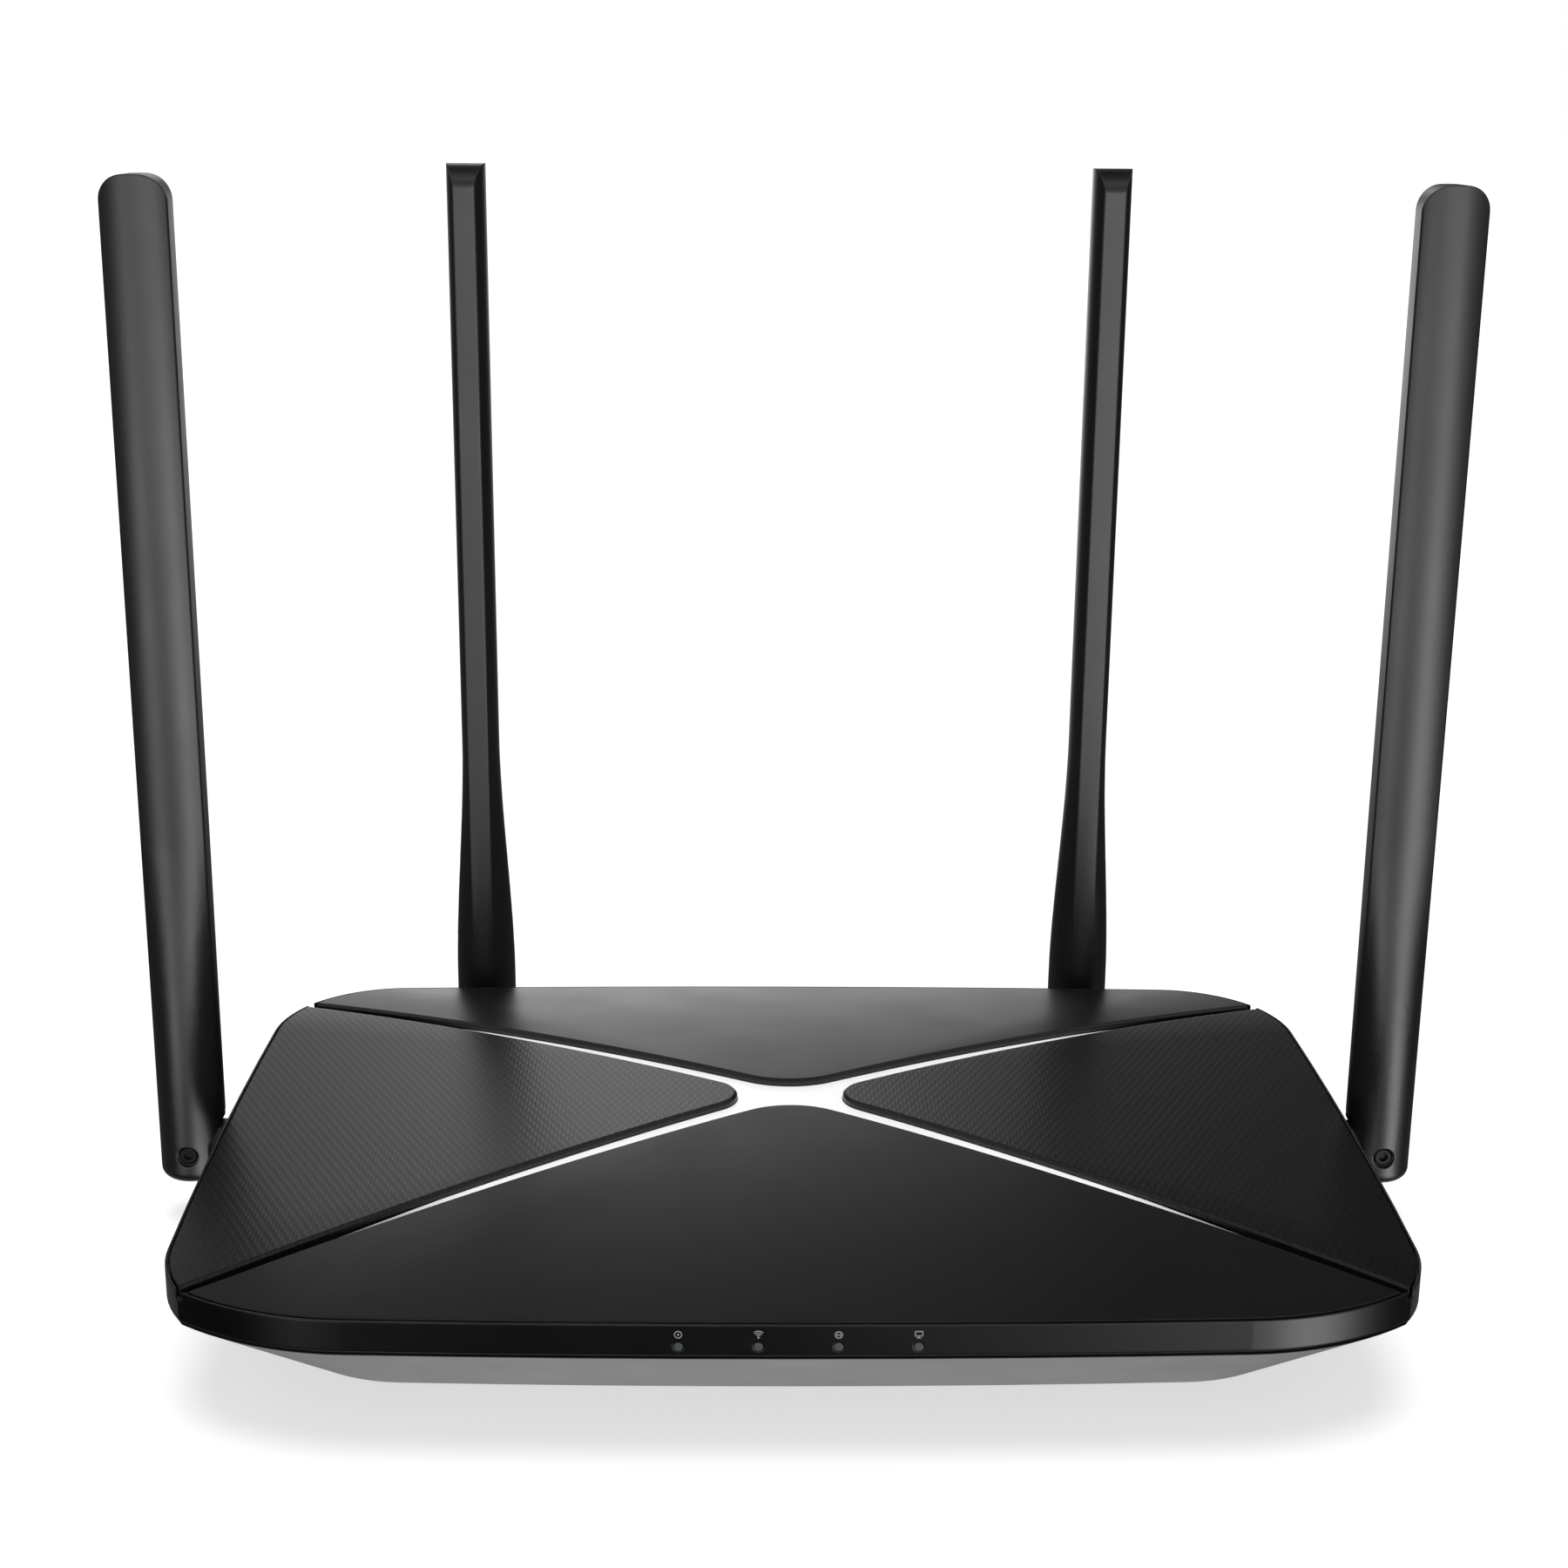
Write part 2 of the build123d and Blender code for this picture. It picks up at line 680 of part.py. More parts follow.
led_y = -30.0
led_x = [(index - 1.5) * led_pitch for index in range(4)]

with BuildPart() as light_pipes:
    # Each pipe runs back from the band and turns down over its light, with a slanted mirror end
    with BuildSketch(Plane.YZ.offset(-0.7)) as pipe_side:
        with BuildLine():
            Polyline(
                (-rim_half_depth + 4.5, led_z - 0.7),
                (-rim_half_depth + 4.5, led_z + 0.7),
                (led_y - 0.7, led_z + 0.7),
                (led_y + 0.7, led_z - 0.7),
                (led_y + 0.7, board_top + 1.1),
                (led_y - 0.7, board_top + 1.1),
                (led_y - 0.7, led_z - 0.7),
                close=True,
            )
        make_face()
    for x in led_x:
        extrude(pipe_side.sketch.moved(Location((x, 0, 0))), amount=1.4)
    with BuildSketch(Plane.XZ.offset(rim_half_depth - 4.7)):
        with Locations((0, led_z)):
            with GridLocations(led_pitch, 0, 4, 1):
                Circle(0.65)
    extrude(amount=4.7)
    with BuildSketch(Plane.XY.offset(led_z - 0.7)):
        with Locations((0, -50)):
            Rectangle(3 * led_pitch, 2.4)
    extrude(amount=1.2)
save("light_pipes", light_pipes)

with BuildPart() as status_lights:
    with BuildSketch(Plane.XY.offset(board_top)):
        with Locations((0, led_y)):
            with GridLocations(led_pitch, 0, 4, 1):
                Rectangle(1.6, 0.8)
    extrude(amount=0.7)
save("status_lights", status_lights)

# ---- Chips and other parts on the board --------------------------------------------------


def board_blocks(places, length, width, height, lift=0.0, corner=0.0):
    """Identical upright blocks on the board."""
    with BuildPart() as blocks:
        with BuildSketch(Plane.XY.offset(board_top + lift)):
            with Locations(*places):
                if corner:
                    RectangleRounded(length, width, corner)
                else:
                    Rectangle(length, width)
        extrude(amount=height)
    return blocks


def board_cans(places, radius, height):
    """Identical upright round parts on the board."""
    with BuildPart() as cans:
        with BuildSketch(Plane.XY.offset(board_top)):
            with Locations(*places):
                Circle(radius)
        extrude(amount=height)
        fillet(cans.edges().group_by(Axis.Z)[-1], radius=0.4)
    return cans


save("main_chip", board_blocks([(2, 4)], 15, 15, 1.4))

with BuildPart() as heat_sink:
    with BuildSketch(Plane.XY.offset(board_top + 1.45)):
        with Locations((2, 4)):
            Rectangle(24, 24)
    extrude(amount=1.5)
    with BuildSketch(Plane.XY.offset(board_top + 2.95)):
        with Locations((2, 4)):
            with GridLocations(3.2, 0, 8, 1):
                Rectangle(1.2, 24)
    extrude(amount=4.5)
save("heat_sink", heat_sink)

save("memory_chip", board_blocks([(20, 4)], 10, 14, 1.1))
save("flash_chip", board_blocks([(-18, -14)], 8, 5.3, 1.8))
save("network_transformers", board_blocks([(-14, 38), (9, 38), (36, 38)], 16, 9, 5.6))
save("capacitors", board_cans([(-45, 30), (-36, 30), (-45, 14), (44, -24)], 3.1, 8.0))
save("inductors", board_blocks([(-36, 20), (-27, 14)], 6.5, 6.5, 3.2, corner=1.2))
save("clock_crystal", board_blocks([(-16, -4)], 5.0, 3.2, 0.9, corner=0.6))

with BuildPart() as radio_shields:
    shield_places = [(-36, -10), (38, -8)]
    with BuildSketch(Plane.XY.offset(board_top)):
        with Locations(*shield_places):
            RectangleRounded(24, 20, 1.0)
    extrude(amount=3.0)
    with BuildSketch(Plane.XY.offset(board_top)):
        with Locations(*shield_places):
            RectangleRounded(23.4, 19.4, 0.7)
    extrude(amount=2.7, mode=Mode.SUBTRACT)
save("radio_shields", radio_shields)

save("radio_chips", board_blocks(shield_places, 9, 9, 1.0))

# ---- Antennas ----------------------------------------------------------------------------
# Each is drawn with the pivot at the origin, standing up, its swivel pointing along +X, and
# is then set into its place.


round_top = 8.0  # the base is round up to here
paddle_start = 57.0  # and has its flat section from here on
antenna_wall = 1.7
tip_corner_radius = 4.3
tip_crown = 0.5
trimmed_ear = 3.4  # the ears reach this far inwards from the pivot


def between(start, end, share):
    """The value a given share of the way from start to end."""
    return start + (end - start) * share


def antenna_section(height, flatness):
    """A section from round (flatness 0) to flat edges joined by two domed faces (flatness 1)."""
    band_y = paddle_edge / 2 - 0.2
    face_y = paddle_edge / 2 + 0.05
    band_x = between(sqrt(base_radius**2 - band_y**2), paddle_width / 2 - 0.02, flatness)
    face_x = between(sqrt(base_radius**2 - face_y**2), paddle_width / 2 - 0.22, flatness)
    half_width = between(base_radius, paddle_width / 2, flatness)
    half_thickness = between(base_radius, paddle_thickness / 2, flatness)
    with BuildSketch(Plane.XY.offset(height)) as section:
        with BuildLine():
            for side in (1, -1):
                ThreePointArc(
                    (side * band_x, -side * band_y),
                    (side * half_width, 0),
                    (side * band_x, side * band_y),
                )
                Line((side * band_x, side * band_y), (side * face_x, side * face_y))
                ThreePointArc(
                    (side * face_x, side * face_y),
                    (0, side * half_thickness),
                    (-side * face_x, side * face_y),
                )
                Line((-side * face_x, side * face_y), (-side * band_x, side * band_y))
        make_face()
    return section.sketch


with BuildPart() as antenna_shell:
    # The paddle, with its tip rounded in the wide view
    extrude(antenna_section(paddle_start, 1), amount=antenna_above - paddle_start)
    with BuildSketch(Plane.XZ) as tip_view:
        with BuildLine():
            ThreePointArc(
                (-paddle_width / 2, antenna_above - tip_crown),
                (0, antenna_above),
                (paddle_width / 2, antenna_above - tip_crown),
            )
            Polyline(
                (paddle_width / 2, antenna_above - tip_crown),
                (paddle_width / 2, paddle_start),
                (-paddle_width / 2, paddle_start),
                (-paddle_width / 2, antenna_above - tip_crown),
            )
        make_face()
        fillet(tip_view.vertices().group_by(Axis.Y)[-1], radius=tip_corner_radius)
    extrude(amount=10, both=True, mode=Mode.INTERSECT)
    # The flare and the round base
    steps = [0, 0.25, 0.5, 0.75, 1]
    loft(
        [
            antenna_section(between(round_top, paddle_start, step), step * step * (3 - 2 * step))
            for step in steps
        ]
    )
    extrude(antenna_section(-antenna_below, 0), amount=antenna_below + round_top)
    fillet(antenna_shell.edges().group_by(Axis.Z)[0], radius=2.0)
    # Slot for the knuckle's tongue, open towards the case and downwards
    with BuildSketch(Plane.XZ) as slot_view:
        with BuildLine():
            Polyline(
                (-8, -8),
                (tongue_radius + 0.3, -8),
                (tongue_radius + 0.3, tongue_radius + 0.5),
                (-trimmed_ear, tongue_radius + 0.5),
                (-8, tongue_radius + 4.5),
                close=True,
            )
        make_face()
    extrude(amount=slot_width / 2, both=True, mode=Mode.SUBTRACT)
    # The ears are trimmed on the case side
    with BuildSketch(Plane.XZ) as trim_view:
        with BuildLine():
            Polyline(
                (-8, -8), (-trimmed_ear, -8), (-trimmed_ear, 1.5), (-8, 9.8), close=True
            )
        make_face()
    extrude(amount=10, both=True, mode=Mode.SUBTRACT)
    # Pin hole with a wider mouth at each end
    with BuildSketch(Plane.XZ):
        Circle(pin_radius + 0.02)
    extrude(amount=10, both=True, mode=Mode.SUBTRACT)
    for mouth in (Plane.XZ.offset(4.7), Plane.XZ.offset(-4.7)):
        with BuildSketch(mouth):
            Circle(pin_radius + 0.25)
        extrude(amount=3 if mouth.origin.Y < 0 else -3, mode=Mode.SUBTRACT)
    # Hollow for the radiator, and a channel for its lead
    with BuildSketch(Plane.XY.offset(round_top + 4)):
        RectangleRounded(
            paddle_width - 2 * antenna_wall, paddle_thickness - 2 * antenna_wall, 1.2
        )
    extrude(amount=antenna_above - round_top - 11, mode=Mode.SUBTRACT)
    with BuildSketch(Plane.XY):
        Circle(1.2)
    extrude(amount=round_top + 6, mode=Mode.SUBTRACT)

with BuildPart() as radiator:
    with BuildSketch(Plane.XY.offset(round_top + 8)):
        Rectangle(5.6, 0.8)
    extrude(amount=130)

with BuildPart() as hinge_pin:
    with BuildSketch(Plane.XZ):
        Circle(pin_radius)
    extrude(amount=5.0, both=True)
    chamfer(hinge_pin.edges(), length=0.25)
    with BuildSketch(Plane.XZ):
        Circle(0.75)
    extrude(amount=5.0, both=True, mode=Mode.SUBTRACT)
    with BuildSketch(Plane.XZ):
        Circle(0.75)
    extrude(amount=4.3, both=True)

flange_back = -pivot_reach + axial_gap
collar_front = -pivot_reach - boss_wall - axial_gap
collar_thickness = 1.1

with BuildPart() as knuckle:
    with BuildSketch(Plane.YZ.offset(flange_back)):
        Circle(flange_radius)
    extrude(amount=flange_thickness)
    chamfer(knuckle.edges(), length=0.25)
    with BuildSketch(Plane.XZ):
        Circle(tongue_radius)
        Rectangle(
            -flange_back - 0.5, 2 * tongue_radius, align=(Align.MAX, Align.CENTER)
        )
    extrude(amount=tongue_thickness / 2, both=True)
    with BuildSketch(Plane.YZ.offset(collar_front)):
        Circle(shaft_radius)
    extrude(amount=flange_back - collar_front + 0.5)
    with BuildSketch(Plane.YZ.offset(collar_front)):
        Circle(shaft_radius + 0.9)
    extrude(amount=-collar_thickness)
    # Bore for the hinge pin, and the lead's way through the shaft
    with BuildSketch(Plane.XZ):
        Circle(pin_radius + running_clearance + 0.01)
    extrude(amount=tongue_thickness, both=True, mode=Mode.SUBTRACT)
    with BuildSketch(Plane.YZ.offset(collar_front - collar_thickness)):
        Circle(1.0)
    extrude(amount=9.0, mode=Mode.SUBTRACT)

antenna_places = {
    "right_side": (side_antenna[0], side_antenna[1], 0),
    "left_side": (-side_antenna[0], side_antenna[1], 180),
    "right_rear": (rear_antenna[0], rear_antenna[1], 90),
    "left_rear": (-rear_antenna[0], rear_antenna[1], 90),
}
antenna_pieces = {
    "antenna": antenna_shell,
    "radiator": radiator,
    "hinge_pin": hinge_pin,
    "knuckle": knuckle,
}
for place, (x, y, turn) in antenna_places.items():
    for piece, drawn in antenna_pieces.items():
        with BuildPart() as set_in_place:
            with Locations(Location((x, y, pivot_z), (0, 0, turn))):
                add(drawn.part)
        save(f"{place}_{piece}", set_in_place)

# ---- Leads from the antennas to the board ------------------------------------------------

lead_radius = 0.65
lead_start = pivot_reach + boss_wall + axial_gap + collar_thickness + 0.4
lead_z = board_top + 3.9
side_connector = (52.5, side_antenna[1])
rear_connector = (51.5, 47.0)
connector_size = 3.0

with BuildPart() as antenna_leads:
    for hand in (1, -1):
        side_start = hand * (side_antenna[0] - lead_start)
        side_end = hand * (side_connector[0] + connector_size / 2 + 0.05)
        rear_x = hand * rear_antenna[0]
        rear_end = hand * (rear_connector[0] + connector_size / 2 + 0.05)
        for route, radii in (
            (
                [
                    (side_start, side_antenna[1], pivot_z),
                    (hand * 80, side_antenna[1], pivot_z),
                    (hand * 68, side_antenna[1], lead_z),
                    (side_end, side_antenna[1], lead_z),
                ],
                [8, 8],
            ),
            (
                [
                    (rear_x, rear_antenna[1] - lead_start, pivot_z),
                    (rear_x, 56, pivot_z),
                    (hand * 57.6, rear_connector[1], lead_z),
                    (rear_end, rear_connector[1], lead_z),
                ],
                [6, 1.8],
            ),
        ):
            with BuildLine() as lead_path:
                FilletPolyline(*route, radius=radii)
            with BuildSketch(Plane(route[0], z_dir=Vector(*route[1]) - Vector(*route[0]))):
                Circle(lead_radius)
            sweep(path=lead_path.line)
save("antenna_leads", antenna_leads)

lead_connectors = board_blocks(
    [
        (hand * x, y)
        for hand in (1, -1)
        for x, y in (side_connector, rear_connector)
    ],
    connector_size,
    connector_size,
    5.0,
)
save("lead_connectors", lead_connectors)
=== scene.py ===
import json
import math

import bmesh
import bpy
from mathutils import Matrix, Vector


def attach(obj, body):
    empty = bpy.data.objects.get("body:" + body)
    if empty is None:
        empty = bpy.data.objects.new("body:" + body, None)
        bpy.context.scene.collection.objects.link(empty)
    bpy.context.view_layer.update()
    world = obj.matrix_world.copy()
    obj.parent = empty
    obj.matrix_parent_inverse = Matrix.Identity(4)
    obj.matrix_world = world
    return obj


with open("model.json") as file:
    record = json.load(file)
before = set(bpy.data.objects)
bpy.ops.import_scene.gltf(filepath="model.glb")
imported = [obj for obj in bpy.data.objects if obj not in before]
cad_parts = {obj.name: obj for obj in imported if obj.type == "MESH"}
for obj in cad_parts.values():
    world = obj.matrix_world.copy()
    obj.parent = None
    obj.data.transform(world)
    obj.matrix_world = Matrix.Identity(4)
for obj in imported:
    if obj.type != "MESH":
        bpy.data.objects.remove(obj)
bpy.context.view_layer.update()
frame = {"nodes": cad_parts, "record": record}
scene = bpy.context.scene
nodes = frame["nodes"]

# ---- Camera ------------------------------------------------------------------------------

CAMERA_PLACE = (-0.0088, -0.386525, 0.191)
SENSOR_WIDTH = 36
FOCAL_LENGTH = 56.2
NEAREST, FARTHEST = 0.01, 20

pitch, yaw, roll = math.radians(16.0), math.radians(1.1), math.radians(0.53)
ahead = Vector((math.sin(yaw) * math.cos(pitch), math.cos(yaw) * math.cos(pitch), -math.sin(pitch)))
across = Vector((math.cos(yaw), -math.sin(yaw), 0))
upwards = across.cross(ahead)
right = across * math.cos(roll) + upwards * math.sin(roll)
up = upwards * math.cos(roll) - across * math.sin(roll)
camera = bpy.data.objects.new("camera", bpy.data.cameras.new("camera"))
scene.collection.objects.link(camera)
camera.data.sensor_width = SENSOR_WIDTH
camera.data.lens = FOCAL_LENGTH
camera.data.clip_start, camera.data.clip_end = NEAREST, FARTHEST
turned = Matrix((right, up, -ahead)).transposed().to_4x4()
camera.matrix_world = Matrix.Translation(Vector(CAMERA_PLACE)) @ turned
scene.camera = camera

# ---- Material kit ------------------------------------------------------------------------

# Sizes are in metres.
BEVEL_SAMPLES = 6
FLAT, EDGE = 0.999, 0.86  # cosine of the turn between true and softened normal, off and on an edge
LOW, HIGH = 0.3, 0.7  # most of a noise's values lie between these
PLASTIC_EDGE = 0.00035
METAL_EDGE = 0.0002
TRIM_EDGE = 0.00015
PLASTIC_GRAIN = 0.00025
METAL_GRAIN = 0.0004
METAL_RELIEF = 0.000004
METAL_WEAR_AND_HIGHLIGHT = 0.3
TRIM_PAINTED_SHADE = (0.047, 0.075)  # distance from the middle where the painted shade of the groove starts to darken the trim, and where it is full


class Graph:
    """A material's node tree with short calls for the nodes used here."""

    def __init__(self, name):
        self.material = bpy.data.materials.new(name)
        self.material.use_nodes = True
        self.tree = self.material.node_tree
        self.shader = self.tree.nodes["Principled BSDF"]
        self.place = self.node("ShaderNodeTexCoord").outputs["Object"]

    def node(self, kind, inputs=None, **settings):
        made = self.tree.nodes.new(kind)
        for key, value in settings.items():
            setattr(made, key, value)
        for key, value in (inputs or {}).items():
            self.feed(made.inputs[key], value)
        return made

    def feed(self, socket, value):
        if isinstance(value, bpy.types.NodeSocket):
            self.tree.links.new(value, socket)
        else:
            socket.default_value = value

    def noise(self, scale, detail=3.0, roughness=0.5, place=None):
        return self.node(
            "ShaderNodeTexNoise",
            {"Vector": place or self.place, "Scale": scale, "Detail": detail, "Roughness": roughness},
        ).outputs["Fac"]

    def math(self, operation, a, b=0.0, clamp=False):
        made = self.node("ShaderNodeMath", {0: a, 1: b}, operation=operation)
        made.use_clamp = clamp
        return made.outputs[0]

    def spread(self, value, low, high, to_low, to_high):
        return self.node(
            "ShaderNodeMapRange",
            {"Value": value, "From Min": low, "From Max": high, "To Min": to_low, "To Max": to_high},
        ).outputs[0]

    def mix(self, share, a, b):
        made = self.node("ShaderNodeMix", data_type="RGBA")
        self.feed(made.inputs[0], share)
        self.feed(made.inputs[6], a)
        self.feed(made.inputs[7], b)
        return made.outputs[2]

    def edges(self, radius):
        """1 on sharp edges, falling to 0 a radius away, and the softened normal itself."""
        soft = self.node("ShaderNodeBevel", {"Radius": radius}, samples=BEVEL_SAMPLES).outputs[0]
        flat = self.node("ShaderNodeNewGeometry").outputs["Normal"]
        turn = self.node("ShaderNodeVectorMath", {0: soft, 1: flat}, operation="DOT_PRODUCT")
        return self.spread(turn.outputs["Value"], FLAT, EDGE, 0.0, 1.0), soft

    def bump(self, height, distance, normal=None):
        inputs = {"Height": height, "Distance": distance, "Strength": 1.0}
        if normal is not None:
            inputs["Normal"] = normal
        return self.node("ShaderNodeBump", inputs).outputs[0]


def shade(rgb, factor):
    return (*(min(1.0, c * factor) for c in rgb), 1.0)


def moulded(name, rgb, rough, depth=0.000006, wear_and_highlight=0.25, specular=0.5):
    """Injection-moulded plastic: fine grain, faint flow marks, and edges painted a little paler, partly as
    rubbing wear and partly as a painted highlight.
    """
    g = Graph(name)
    fine = g.noise(1 / PLASTIC_GRAIN, 2.0, 0.6)
    broad = g.noise(28.0, 4.0, 0.55)
    smudge = g.noise(75.0, 2.0, 0.45)
    edge_wear_and_highlight, soft = g.edges(PLASTIC_EDGE)
    tone = g.mix(g.spread(broad, LOW, HIGH, 0.0, 1.0), shade(rgb, 0.88), shade(rgb, 1.12))
    # Paler edges: partly rubbing wear, partly a painted highlight along edges and creases.
    rubbed_and_highlit = g.math("MULTIPLY", edge_wear_and_highlight, g.spread(smudge, 0.35, 0.65, 0.3 * wear_and_highlight, wear_and_highlight), clamp=True)
    g.feed(g.shader.inputs["Base Color"], g.mix(rubbed_and_highlit, tone, shade(tuple(c + 0.05 for c in rgb), 1.6)))
    uneven = g.spread(smudge, 0.2, 0.8, rough * 0.93, rough * 1.07)
    g.feed(g.shader.inputs["Roughness"], g.math("ADD", uneven, g.math("MULTIPLY", rubbed_and_highlit, 0.1)))
    g.feed(g.shader.inputs["Normal"], g.bump(fine, depth, soft))
    g.shader.inputs["Specular IOR Level"].default_value = specular
    return g.material


def woven(name, rgb, rough, across, along):
    """Plastic with a fine moulded weave: upright strands that rise and dip in staggered rows, with painted
    shade in the dips and a painted highlight on the raised strands.
    """
    g = Graph(name)
    parts = g.node("ShaderNodeSeparateXYZ", {"Vector": g.place}).outputs
    turn_x = g.math("MULTIPLY", parts[0], 2 * math.pi / across)
    turn_y = g.math("MULTIPLY", parts[1], 2 * math.pi / along)
    staggered = g.math("MULTIPLY", g.math("COSINE", turn_x), g.math("COSINE", turn_y))
    strands = g.math("MULTIPLY", g.math("COSINE", g.math("MULTIPLY", turn_x, 2.0)), 0.35)
    lift = g.spread(g.math("ADD", staggered, strands), -0.8, 1.35, 0.0, 1.0)
    fine = g.noise(5000.0, 2.0, 0.5)
    broad = g.noise(30.0, 2.0, 0.5)
    edge_wear_and_highlight, soft = g.edges(PLASTIC_EDGE)
    # Painted shade and highlight: the colour is darker in the weave's dips and lighter on its raised
    # strands, following the relief height.
    tone = g.mix(lift, shade(rgb, 0.6), shade(rgb, 1.7))
    tone = g.mix(g.spread(broad, LOW, HIGH, 0.0, 0.25), tone, shade(rgb, 0.9))
    # Paler edges: partly wear, partly a painted highlight.
    g.feed(g.shader.inputs["Base Color"], g.mix(g.math("MULTIPLY", edge_wear_and_highlight, 0.2), tone, shade(rgb, 3.0)))
    g.feed(g.shader.inputs["Roughness"], g.spread(lift, 0.0, 1.0, rough * 1.12, rough * 0.92))
    relief = g.math("ADD", lift, g.math("MULTIPLY", fine, 0.15))
    g.feed(g.shader.inputs["Normal"], g.bump(relief, 0.000018, soft))
    return g.material


def trim_with_painted_shade(name, rgb, painted_shade_rgb, rough):
    """Bright satin trim whose colour is painted dark towards the ends of its arms: painted shade of the
    groove.
    """
    g = Graph(name)
    parts = g.node("ShaderNodeSeparateXYZ", {"Vector": g.place}).outputs
    reach = g.math("ABSOLUTE", parts[0])
    # Painted shade: 0 near the middle, 1 towards the ends of the arms, where the trim's colour is darkened
    # to the groove's shade.
    painted_shade = g.node(
        "ShaderNodeMapRange",
        {"Value": reach, "From Min": TRIM_PAINTED_SHADE[0], "From Max": TRIM_PAINTED_SHADE[1]},
        interpolation_type="SMOOTHSTEP",
    ).outputs[0]
    grain = g.noise(2500.0, 2.0, 0.5)
    broad = g.noise(60.0, 2.0, 0.5)
    edge_wear_and_highlight, soft = g.edges(TRIM_EDGE)
    bright = g.mix(g.spread(broad, LOW, HIGH, 0.0, 1.0), shade(rgb, 0.97), shade(rgb, 1.0))
    # Paler edges: partly wear, partly a painted highlight.
    bright = g.mix(g.math("MULTIPLY", edge_wear_and_highlight, 0.3), bright, shade(rgb, 1.1))
    # The trim's colour goes over into the painted shade colour towards the ends of its arms.
    g.feed(g.shader.inputs["Base Color"], g.mix(painted_shade, bright, painted_shade_rgb))
    g.feed(g.shader.inputs["Roughness"], g.spread(broad, LOW, HIGH, rough * 0.9, rough * 1.1))
    g.feed(g.shader.inputs["Normal"], g.bump(grain, 0.000004, soft))
    return g.material


def metal(name, rgb, rough, along=(1.0, 1.0, 1.0)):
    """Metal with fine directional marks, uneven polish and edges painted brighter, partly as wear and partly
    as a painted highlight.
    """
    g = Graph(name)
    stretched = g.node("ShaderNodeMapping", {"Vector": g.place, "Scale": along}).outputs[0]
    marks = g.noise(1 / METAL_GRAIN, 3.0, 0.6, stretched)
    broad = g.noise(120.0, 4.0, 0.6)
    edge_wear_and_highlight, soft = g.edges(METAL_EDGE)
    tone = g.mix(g.spread(broad, LOW, HIGH, 0.0, 1.0), shade(rgb, 0.86), shade(rgb, 1.08))
    # Brighter edges: partly wear, partly a painted highlight.
    g.feed(g.shader.inputs["Base Color"], g.mix(g.math("MULTIPLY", edge_wear_and_highlight, METAL_WEAR_AND_HIGHLIGHT), tone, shade(rgb, 1.4)))
    g.feed(g.shader.inputs["Roughness"], g.spread(broad, LOW, HIGH, rough * 0.8, rough * 1.25))
    g.feed(g.shader.inputs["Normal"], g.bump(marks, METAL_RELIEF, soft))
    g.shader.inputs["Metallic"].default_value = 1.0
    return g.material


def circuit(name):
    """Green solder mask over copper tracks, with pads and vias showing through."""
    g = Graph(name)
    cells = g.node(
        "ShaderNodeTexVoronoi", {"Vector": g.place, "Scale": 420.0}, feature="F1", distance="MANHATTAN"
    )
    lines = g.node("ShaderNodeTexBrick", {"Vector": g.place, "Scale": 90.0, "Mortar Size": 0.035})
    track = g.spread(lines.outputs["Fac"], 0.2, 0.8, 0.0, 1.0)
    via = g.spread(cells.outputs["Distance"], 0.12, 0.2, 1.0, 0.0)
    mask = g.mix(track, (0.006, 0.055, 0.022, 1), (0.016, 0.12, 0.05, 1))
    g.feed(g.shader.inputs["Base Color"], g.mix(via, mask, (0.55, 0.42, 0.2, 1)))
    g.feed(g.shader.inputs["Roughness"], g.spread(g.noise(900.0), LOW, HIGH, 0.28, 0.42))
    g.feed(g.shader.inputs["Normal"], g.bump(g.math("MAXIMUM", track, via), 0.00003))
    return g.material


def clear_pipe(name):
    """Smoky clear plastic, a little hazed."""
    g = Graph(name)
    haze = g.noise(500.0, 3.0)
    g.feed(g.shader.inputs["Base Color"], g.mix(haze, (0.09, 0.10, 0.11, 1), (0.14, 0.15, 0.16, 1)))
    g.feed(g.shader.inputs["Roughness"], g.spread(haze, LOW, HIGH, 0.12, 0.28))
    g.feed(g.shader.inputs["Normal"], g.bump(haze, 0.000008, g.edges(METAL_EDGE)[1]))
    g.shader.inputs["Transmission Weight"].default_value = 0.35
    g.shader.inputs["IOR"].default_value = 1.49
    return g.material


# ---- Materials ---------------------------------------------------------------------------

